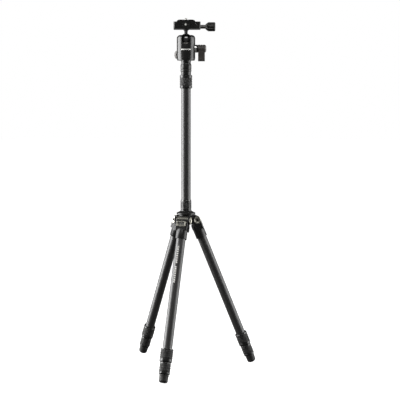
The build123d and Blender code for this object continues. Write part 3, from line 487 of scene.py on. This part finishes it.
vial_glass = finish("vial_glass", (0.86, 0.88, 0.82), 0.10, tone=0.05, spread=0.02, depth=0.002,
                    wear=(0.9, 0.9, 0.9), wear_share=0.2, coat=0.6)

# Finish of each CAD node by the record's slot; tubes get their own weave further down.
CAD_FINISH = {
    "satin_black_aluminium": satin_black,
    "rubber": rubber,
    "steel": steel,
    "bright_metal": bright,
    "champagne_metal": champagne,
    "dark_fastener": dark_fastener,
    "grey_plastic": grey_plastic,
    "nylon": nylon,
    "vial_glass": vial_glass,
    "carbon_tube": satin_black,
    "leg_casting_black": casting_black,
    "lock_black": lock_black,
}


def paint(node, material):
    """Give a carried-over CAD node a finish."""
    piece = frame["nodes"][node]
    piece.data.materials.clear()
    piece.data.materials.append(material)


for part in frame["record"]["subparts"]:
    paint(part["node"], CAD_FINISH[part["material_slot"]])

# ==== twist locks ============================================================================


def twist_collar(node, place, low_tube_r, high_tube_r):
    """Twist lock's collar: chamfered ends, a waist under its rubber, fine rings."""
    bottom, top = heights(node, place)
    band_low, band_high = heights(f"{node}_grip", place)
    rim = radii(node, place)[1]
    waist = radii(f"{node}_grip", place)[0] - 0.03
    low_bore = low_tube_r + TUBE_GAP
    high_bore = high_tube_r + TUBE_GAP
    outline = (
        (low_bore, bottom),
        (rim - 1.9, bottom),
        (rim - 1.0, bottom + 0.45),
        (rim - 0.1, bottom + 1.7),
        (rim - 0.1, band_low - 1.5),
        (rim - 0.55, band_low - 1.3),
        (rim - 0.55, band_low - 0.8),
        (rim, band_low - 0.6),
        (rim, band_low - 0.1),
        (waist, band_low - 0.1),
        (waist, band_high + 0.1),
        (rim, band_high + 0.1),
        (rim, top - 1.5),
        (rim - 0.35, top - 1.35),
        (rim - 0.35, top - 0.9),
        (rim - 0.3, top - 0.5),
        (rim - 1.2, top),
        (high_bore, top),
        (high_bore, top - 3.0),
        (low_bore, top - 3.4),
    )
    mesh = turned(f"{node}_collar", rounded(outline, 0.25), 112)
    add_piece(f"{node}_collar", mesh, node, lock_black, place, (node,))


def grip_band(node, place, columns, rows):
    """Moulded rubber band with staggered rows of raised pads."""
    bottom, top = heights(f"{node}_grip", place)
    inner, outer = radii(f"{node}_grip", place)
    depth = 0.75
    margin = 0.6
    pitch = (top - bottom - 2 * margin) / rows

    def relief(angle, radius, height):
        if radius < outer - 0.4:
            return radius
        row = min(max((height - bottom - margin) / pitch, 0.0), rows - 0.001)
        shift = 0.5 * (int(row) % 2)
        u = (angle / (2 * math.pi) * columns + shift) % 1.0
        v = row % 1.0
        pad = smoothstep(0.06, 0.20, min(u, 1 - u)) * smoothstep(0.07, 0.22, min(v, 1 - v))
        return radius - depth * (1 - pad)

    outline = divided(rounded(((inner, bottom), (outer, bottom), (outer, top), (inner, top))), 0.42)
    mesh = turned(f"{node}_band", outline, columns * 10, relief)
    add_piece(f"{node}_band", mesh, node, rubber, place, (f"{node}_grip",), sharp=60)


def trim_ring(name, place, body, radius, height, thick=0.75):
    """Thin grey ring let into a collar's end."""
    outline = (
        (radius - 0.9, height - thick),
        (radius + 0.02, height - thick),
        (radius + 0.02, height - thick + 0.1),
        (radius - 0.28, height),
        (radius - 0.9, height),
    )
    mesh = turned(name, rounded(outline, 0.12), 112)
    add_piece(name, mesh, body, trim_grey, place)


def twist_lock(node, place, low_tube_r, high_tube_r, columns, rows, inset=0.3, drop=0.35):
    """Collar, rubber band and trim ring of a lock between two tubes."""
    twist_collar(node, place, low_tube_r, high_tube_r)
    grip_band(node, place, columns, rows)
    top = heights(node, place)[1] - drop
    trim_ring(f"{node}_trim", place, node, radii(node, place)[1] - inset, top)


# ==== legs ===================================================================================


def rubber_foot(leg, place):
    """Boot with a rounded sole, shallow flutes, a cuff bead and a ringed tread."""
    node = f"{leg}_leg_foot"
    bottom, top = heights(node, place)
    bore = LEG_BOTTOM_R + 0.05
    rim = radii(node, place)[1]
    end_r = rim - 0.65
    round_r = 5.0
    flutes = 18
    floor = bottom + 5.0
    sole = [
        (end_r - round_r + round_r * math.sin(a), bottom + round_r - round_r * math.cos(a))
        for a in (math.radians(11.25 * k) for k in range(9))
    ]
    outline = [
        (0, bottom + 0.3),
        (1.6, bottom + 0.3),
        (1.9, bottom),
        (3.4, bottom),
        (3.7, bottom + 0.5),
        (4.4, bottom + 0.5),
        (4.7, bottom),
        *sole,
        (rim - 0.42, top - 4.6),
        (rim - 0.95, top - 4.3),
        (rim - 0.95, top - 3.7),
        (rim - 0.25, top - 3.4),
        (rim, top - 2.6),
        (rim, top - 0.9),
        (rim - 0.8, top),
        (bore, top),
        (bore, floor),
        (0, floor),
    ]

    def relief(angle, radius, height):
        start, end = bottom + round_r, top - 5.0
        if radius < end_r - 1.2 or not start < height < end:
            return radius
        fade = smoothstep(start, start + 1.2, height) * (1 - smoothstep(end - 1.4, end, height))
        wave = 0.5 - 0.5 * math.cos(angle * flutes)
        return radius - 0.28 * fade * smoothstep(0.55, 1.0, wave)

    mesh = turned(f"{leg}_foot_boot", divided(outline, 1.2), flutes * 8, relief)
    add_piece(f"{leg}_foot_boot", mesh, f"{leg}_leg_bottom", rubber, place, (node,), sharp=45)


def latch_ridges(leg, place):
    """Thumb ridges in the push latch's dish."""
    low, high = extent(f"{leg}_leg_latch", place)
    bm = bmesh.new()
    middle = (low.z + high.z) / 2
    half = (high.x - low.x) / 2 - 3.9 * MM
    face = high.y - (LATCH_DISH_DEPTH + 0.05) * MM
    half_width = 0.75
    for rise, lift in ((-1.9, 0.95), (-0.2, 0.6), (1.5, 0.35)):
        centre = middle + rise * MM
        outline = [
            (half_width * MM * math.cos(a), lift * MM * math.sin(a))
            for a in (math.radians(22.5 * k) for k in range(9))
        ]
        prism(bm, outline, -half, half, lambda u, v, d: (d, face + v, centre + u))
    mesh = mesh_from(bm, f"{leg}_latch_ridges")
    bevel(add_piece(f"{leg}_latch_ridges", mesh, f"{leg}_leg_latch", bright, place), 0.15)


def latch_painted_shade(leg, place):
    """Dark sheet on the upper part of the latch's dish, painted shade where the dish lies in shadow."""
    low, high = extent(f"{leg}_leg_latch", place)
    bm = bmesh.new()
    floor = high.y - LATCH_DISH_DEPTH * MM
    half_x = (high.x - low.x) / 2 - 2.75 * MM
    top = high.z - 2.95 * MM
    bottom = (low.z + high.z) / 2 + 0.3 * MM
    middle = (top + bottom) / 2
    outline = rounded_box(half_x, (top - bottom) / 2, 0.9 * MM)
    # Painted shade: a thin dark sheet laid on the dish floor's upper half, where the dish is shadowed.
    prism(bm, outline, -0.05 * MM, 0.12 * MM, lambda u, v, d: (u, floor + d, middle + v))
    mesh = mesh_from(bm, f"{leg}_latch_painted_shade")
    add_piece(f"{leg}_latch_painted_shade", mesh, f"{leg}_leg_latch", dark_fastener, place)


def pivot_caps(leg):
    """Pale ring round each end of a leg's hinge bolt."""
    joint = JOINTS[f"{leg}_leg_fold"]
    axis = Vector(joint["axis"])
    outline = (
        (3.5, -0.2),
        (8.35, -0.2),
        (8.35, 0.25),
        (7.95, 0.55),
        (6.2, 0.55),
        (5.6, 0.2),
        (3.9, 0.2),
        (3.5, 0.05),
    )
    for side, word in ((1, "a"), (-1, "b")):
        name = f"{leg}_pivot_cap_{word}"
        outward = side * axis
        place = frame_from(Vector(joint["pos_m"]) + LUG_FACE * MM * outward, outward, (0, 0, 1))
        add_piece(name, turned(name, rounded(outline, 0.15), 72), "hub", champagne, place)


def knuckle_painted_highlight(leg, place):
    """Pale metal shell over the knuckle's outer quarter, a painted highlight where the casting's rounded knuckle
    catches the top light.
    """
    half_width = 13.4
    inner, outer = 9.28, 9.62
    centre = (KNUCKLE_Y, 0)
    bm = bmesh.new()
    # Painted highlight: this pale shell stands for the top light on the black casting's knuckle.
    shell = arc(centre, inner, 4, 81, 4) + arc(centre, outer, 80, 3, -4)
    prism(bm, shell, -half_width, half_width, lambda u, v, d: (d * MM, u * MM, v * MM))
    mesh = mesh_from(bm, f"{leg}_knuckle_painted_highlight")
    bevel(add_piece(f"{leg}_knuckle_painted_highlight", mesh, f"{leg}_leg", champagne, place), 0.12)


for leg in LEGS:
    place = leg_place(leg)
    top_r = radii(f"{leg}_leg_top_tube", place)[1]
    twist_lock(f"{leg}_leg_upper_lock", place, LEG_MIDDLE_R, top_r, 20, 4)
    twist_lock(f"{leg}_leg_lower_lock", place, LEG_BOTTOM_R, LEG_MIDDLE_R, 18, 3)
    rubber_foot(leg, place)
    latch_ridges(leg, place)
    latch_painted_shade(leg, place)
    knuckle_painted_highlight(leg, place)
    pivot_caps(leg)
    ease_edges(f"{leg}_leg_casting", 0.35)
    ease_edges(f"{leg}_leg_latch", 0.35)
    marks = printed_bars if leg == "front" else None
    for stage, radius, print_mask in (
        ("top", top_r, marks),
        ("middle", LEG_MIDDLE_R, None),
        ("bottom", LEG_BOTTOM_R, None),
    ):
        paint(f"{leg}_leg_{stage}_tube", carbon(f"carbon_{leg}_{stage}", place, radius, print_mask))

# ==== hub and column =========================================================================


def hub_lock_ring():
    """Hub's twist lock: ribbed barrel between two ringed lips."""
    bottom, top = heights("hub_lock")
    rim = radii("hub_lock")[1]
    bore = COLUMN_LOWER_R + 0.15
    ribs = 44
    rib_low, rib_high = bottom + 5.6, top - 4.0

    def relief(angle, radius, height):
        if radius < rim - 0.3 or not rib_low < height < rib_high:
            return radius
        wave = 0.5 + 0.5 * math.cos(angle * ribs)
        groove = 1 - smoothstep(0.25, 0.75, wave)
        return radius - 0.32 * band(rib_low, rib_high, 0.6, height) * groove

    outline = (
        (bore, bottom),
        (rim - 0.3, bottom),
        (rim, bottom + 0.4),
        (rim, bottom + 2.8),
        (rim - 0.6, bottom + 3.1),
        (rim - 0.6, bottom + 3.9),
        (rim, bottom + 4.3),
        (rim, top - 2.6),
        (rim - 0.6, top - 2.2),
        (rim - 0.6, top - 1.5),
        (rim - 0.3, top - 1.2),
        (rim - 0.5, top),
        (bore, top),
    )
    mesh = turned("hub_lock_barrel", divided(rounded(outline, 0.2), 1.0), ribs * 6, relief)
    add_piece("hub_lock_barrel", mesh, "hub_lock", lock_black,
              stands_for=("hub_lock",), sharp=45)
    trim_ring("hub_lock_top_ring", Matrix(), "hub_lock", rim - 0.35, top - 0.15, 0.6)


hub_lock_ring()
twist_lock("column_lock", Matrix(), COLUMN_LOWER_R, COLUMN_UPPER_R, 20, 3, inset=0.4, drop=0.3)
paint("hub_spider", casting_black)
paint("column_lower_tube", carbon("carbon_column_lower", Matrix(), COLUMN_LOWER_R))
paint("column_upper_tube", carbon("carbon_column_upper", Matrix(), COLUMN_UPPER_R))
for node, width in (
    ("hub_spider", 0.4),
    ("hub_flange", 0.3),
    ("pivot_bolts", 0.22),
    ("column_platform", 0.25),
    ("column_end_plug", 0.25),
    ("pan_base", 0.2),
):
    ease_edges(node, width)

# ==== knobs ==================================================================================


def lobed_knob(node, material, lobes, depth, profile, wave):
    """Turned knob whose grip has lobes; the outline is given by profile(bottom, top, rim)."""
    joint = JOINTS[f"{node}_turn"]
    place = frame_from(joint["pos_m"], joint["axis"], (0, 0, 1))
    bottom, top = heights(node, place)
    rim = radii(node, place)[1]
    outline = divided(rounded(profile(bottom, top, rim), 0.45, 4), 0.9)

    def relief(angle, radius, height):
        share = smoothstep(0.62 * rim, 0.98 * rim, radius)
        dip = smoothstep(wave, 1.0, 0.5 + 0.5 * math.cos(angle * lobes))
        return radius - depth * share * dip

    mesh = turned(f"{node}_grip", outline, lobes * 12, relief)
    add_piece(f"{node}_grip", mesh, node, material, place, (node,), sharp=40)


def pan_profile(bottom, top, rim):
    """Pan knob: a short screw, a flat inner face and a dished outer face."""
    face = top - 8.3
    return (
        (0, bottom),
        (2.5, bottom),
        (2.5, face),
        (rim - 1.0, face),
        (rim, face + 1.0),
        (rim, top - 1.2),
        (rim - 1.2, top),
        (rim - 3.2, top),
        (rim - 4.0, top - 0.7),
        (0, top - 0.7),
    )


def clamp_profile(bottom, top, rim):
    """Clamp knob: a cone behind a lobed barrel, with a stepped end face."""
    return (
        (3.05, bottom + 1.3),
        (4.45, bottom + 1.3),
        (4.45, bottom),
        (5.6, bottom),
        (rim - 1.2, bottom + 4.5),
        (rim, bottom + 6.6),
        (rim, top - 1.7),
        (rim - 1.5, top),
        (rim - 3.4, top),
        (rim - 4.0, top - 0.8),
        (3.4, top - 0.8),
        (2.9, top - 1.4),
        (0, top - 1.4),
        (0, top - 8.0),
        (3.05, top - 8.0),
    )


# ==== fasteners ==============================================================================


def round_ring(bm, radius, height, count, shape=None):
    """Ring of vertices at a height; shape scales its radius by angle."""
    ring = []
    for k in range(count):
        angle = 2 * math.pi * k / count
        reach = radius * (shape(angle) if shape else 1) * MM
        ring.append(bm.verts.new((reach * math.cos(angle), reach * math.sin(angle), height * MM)))
    return ring


def hexagon(angle):
    """Radius of a hexagon of unit corner radius, by angle."""
    return math.cos(math.pi / 6) / math.cos(angle % (math.pi / 3) - math.pi / 6)


def small_fastener(name, place, body, material, radius, height):
    """Button with a hex socket, set in a face."""
    bm = bmesh.new()
    corners = 24
    seat, chamfer, socket_depth = 0.6, 0.15, 0.7
    levels = (
        (radius, -seat, None),
        (radius, height - chamfer, None),
        (radius - chamfer, height, None),
        (0.52 * radius, height, hexagon),
        (0.52 * radius, height - socket_depth, hexagon),
    )
    rings = [round_ring(bm, reach, z, corners, shape) for reach, z, shape in levels]
    skin(bm, rings, capped=True)
    add_piece(name, mesh_from(bm, name), body, material, place)


def camera_screw():
    """Quarter-inch screw: a flat head with eased edges and a real helical thread."""
    pad_top = heights("plate_pads")[1]
    bottom, top = heights("camera_screw")
    crest, core = 3.17, 2.62
    thread_low, thread_high = pad_top + 0.3, top - 0.5
    outline = (
        (0, bottom + 1.2),
        (7.2, bottom + 1.2),
        (7.2, bottom),
        (7.95, bottom + 0.4),
        (7.95, bottom + 2.6),
        (7.6, bottom + 3.0),
        (2.85, bottom + 3.0),
        (2.85, pad_top + 0.25),
        (crest, pad_top + 0.3),
        (crest, top - 0.55),
        (core - 0.1, top),
        (0, top),
    )

    def relief(angle, radius, height):
        if radius < crest - 0.05 or not thread_low < height < thread_high:
            return radius
        phase = (height / THREAD_PITCH - angle / (2 * math.pi)) % 1.0
        ridge = 1 - abs(2 * phase - 1)
        return core + (crest - core) * smoothstep(0.15, 0.85, ridge)

    mesh = turned("camera_thread_screw", divided(outline, 0.16), 64, relief)
    add_piece("camera_thread_screw", mesh, "camera_screw", steel,
              stands_for=("camera_screw",), sharp=60)


def face_fasteners():
    """Grub screw and index pin in the clamp's front, and the screw in the lever's end."""
    forward, right, up = (0, -1, 0), (1, 0, 0), (0, 0, 1)
    front = extent("clamp_body")[0].y
    grub = frame_from((GRUB_SCREW_X * MM, front, GRUB_SCREW_Z * MM), forward, right)
    small_fastener("clamp_grub_screw", grub, "clamp", dark_fastener, 1.1, 0.25)
    pin = frame_from(MM * Vector(INDEX_PIN), forward, right)
    small_fastener("clamp_index_pin", pin, "clamp", bright, 0.8, 0.2)
    lever_end = extent("lock_lever")[1].x
    lever = frame_from((lever_end, 0, LEVER_SCREW_Z * MM), right, up)
    small_fastener("lever_screw", lever, "lock_lever", steel, 2.6, 0.35)


# ==== ball head and clamp ====================================================================


def head_badge():
    """Plain inlaid strip in two lengths across the head's front."""
    face = radii("head_housing")[1] + 0.03
    profile = (
        (face - 0.4, -1.25),
        (face, -1.25),
        (face + 0.12, -1.0),
        (face + 0.12, 1.0),
        (face, 1.25),
        (face - 0.4, 1.25),
    )
    half_span = 32.5
    bm = bmesh.new()
    for start, end in ((-half_span, -10.6), (-9.6, half_span)):
        steps = round((end - start) / 2)
        rings = []
        for k in range(steps + 1):
            angle = math.radians(start + (end - start) * k / steps)
            side, front = math.sin(angle), -math.cos(angle)
            rings.append([
                bm.verts.new((side * reach * MM, front * reach * MM, (BADGE_Z + rise) * MM))
                for reach, rise in profile
            ])
        skin(bm, rings, capped=True)
    add_piece("head_badge", mesh_from(bm, "head_badge"), "head", badge_grey)


def ribbed_pads():
    """Plate's rubber pads with fine lengthwise ribs."""
    low, high = extent("plate_pads")
    bm = bmesh.new()
    base = low.z + 0.3 * MM
    half_y = high.y
    ribs = 7
    rib = (
        (-0.55 * MM, base - 0.05 * MM),
        (0.55 * MM, base - 0.05 * MM),
        (0.34 * MM, high.z),
        (-0.34 * MM, high.z),
    )
    for start, end in ((low.x, low.x + PAD_WIDTH * MM), (high.x - PAD_WIDTH * MM, high.x)):
        centre = (start + end) / 2
        pad = rounded_box((end - start) / 2, half_y, 2.0 * MM)
        prism(bm, pad, low.z, base, lambda u, v, d: (centre + u, v, d))
        for k in range(ribs):
            x = start + (end - start) * (k + 0.5) / ribs
            reach = half_y - (1.6 if k in (0, ribs - 1) else 0.5) * MM
            prism(bm, rib, -reach, reach, lambda u, v, d: (x + u, d, v))
    mesh = mesh_from(bm, "plate_rubber_pads")
    piece = add_piece("plate_rubber_pads", mesh, "plate", rubber, stands_for=("plate_pads",))
    bevel(piece, 0.08)


def level_vial():
    """Round level: a bezel, a domed clear face and a target ring."""
    low, high = extent("level_vial")
    centre = (low + high) / 2
    place = frame_from((centre.x, high.y, centre.z), (0, -1, 0), (1, 0, 0))
    depth = (high.y - low.y) / MM
    rim = (high.x - low.x) / 2 / MM
    window = rim - 1.6
    bezel = (
        (window, 0),
        (rim, 0),
        (rim, depth - 0.35),
        (rim - 0.3, depth),
        (window + 0.3, depth),
        (window, depth - 0.4),
    )
    glass = window - 0.02
    brim, rise = depth - 0.75, 0.6
    crown = [(glass * u, brim + rise * v) for u, v in arc((0, 0), 1, 10, 91, 10)]
    dome = [(0, 0.05), (glass, 0.05), (glass, brim), *crown]
    target = arc((1.15, depth - 0.22), 0.10, 0, 360, 45)
    mesh = turned("level_bezel", rounded(bezel, 0.12), 64)
    add_piece("level_bezel", mesh, "clamp", dark_fastener, place, ("level_vial",))
    add_piece("level_window", turned("level_window", dome, 64), "clamp", vial_glass, place)
    mesh = turned("level_target", target, 48)
    add_piece("level_target", mesh, "clamp", dark_fastener, place)


head_badge()
lobed_knob("pan_knob", grey_plastic, 18, 0.85, pan_profile, 0.35)
lobed_knob("clamp_knob", knob_black, 10, 1.15, clamp_profile, 0.30)
camera_screw()
ribbed_pads()
level_vial()
face_fasteners()
paint("ball_stem", ball_finish())
paint("head_housing", housing_black_painted_edge_highlight)
paint("clamp_screw", dark_steel)
paint("lock_collar", two_tone_collar())
ease_edges("lock_lever", 0.5, segments=3)
for node, width in (
    ("head_housing", 0.3),
    ("lock_collar", 0.25),
    ("clamp_body", 0.35),
    ("clamp_jaw", 0.35),
    ("camera_plate", 0.3),
    ("stem_screw", 0.2),
):
    ease_edges(node, width)

# ==== studio =================================================================================

FLOOR_REACH = 14.0
BACKDROP_RADIUS = 13.0
WHITE = (1.0, 1.0, 1.0, 1.0)

# Soft boxes: place, the way it faces, its width and height, and its radiance.
SOFT_BOXES = {
    "left_box": ((-1.55, 0.10, 0.75), (1.55, 0.10, 0), (1.5, 2.2), 10.5),
    "right_box": ((1.55, 0.05, 0.75), (-1.55, 0.10, 0), (1.4, 2.2), 4.6),
    "top_box": ((0.10, -1.40, 2.05), (-0.10, 1.40, -1.50), (1.5, 0.8), 3.2),
}


def stage_piece(name, mesh, base, glow):
    """Floor or backdrop with its own even glow, which lights nothing and isn't mirrored."""
    staged = bpy.data.objects.new(name, mesh)
    bpy.context.scene.collection.objects.link(staged)
    graph = Graph(f"{name}_white")
    graph.shade(Base_Color=(base, base, base), Roughness=0.9, Specular_IOR_Level=0.0,
                Emission_Color=WHITE, Emission_Strength=glow)
    staged.data.materials.append(graph.material)
    staged.visible_diffuse = False
    staged.visible_glossy = False
    return staged


def studio():
    """Pale floor, white backdrop and soft boxes, under a faint even sky."""
    scene = bpy.context.scene
    floor = bpy.data.meshes.new("floor")
    corners = [(u * FLOOR_REACH, v * FLOOR_REACH, 0) for u, v in ((-1, -1), (1, -1), (1, 1), (-1, 1))]
    floor.from_pydata(corners, [], [(0, 1, 2, 3)])
    stage_piece("floor", floor, 0.30, 0.98)

    bm = bmesh.new()
    bmesh.ops.create_uvsphere(bm, u_segments=48, v_segments=24, radius=BACKDROP_RADIUS)
    dome = bpy.data.meshes.new("backdrop")
    bm.to_mesh(dome)
    bm.free()
    backdrop = stage_piece("backdrop", dome, 0.0, 1.0)
    backdrop.visible_transmission = False
    backdrop.visible_shadow = False

    scene.world = bpy.data.worlds.new("studio")
    scene.world.use_nodes = True
    sky = scene.world.node_tree.nodes["Background"].inputs
    sky["Color"].default_value = WHITE
    sky["Strength"].default_value = 0.12

    for name, (spot, facing, size, radiance) in SOFT_BOXES.items():
        light = bpy.data.lights.new(name, "AREA")
        light.shape = "RECTANGLE"
        light.size, light.size_y = size
        light.energy = radiance * math.pi * size[0] * size[1]
        lamp = bpy.data.objects.new(name, light)
        scene.collection.objects.link(lamp)
        lamp.location = spot
        lamp.rotation_euler = Vector(facing).to_track_quat("-Z", "Y").to_euler()
        lamp.visible_camera = False
    scene.view_settings.view_transform = "Standard"


def camera():
    """Long lens in front of the tripod, level with its column, tipped slightly down."""
    tip = 5.71
    data = bpy.data.cameras.new("camera")
    data.sensor_width = 36.0
    data.lens = 90.45
    data.shift_x = 0.035
    data.shift_y = -0.007
    data.clip_end = 60.0
    view = bpy.data.objects.new("camera", data)
    bpy.context.scene.collection.objects.link(view)
    view.location = (0.0, -2.360, 0.642)
    view.rotation_euler = (math.radians(90 - tip), 0.0, 0.0)
    bpy.context.scene.camera = view


studio()
camera()
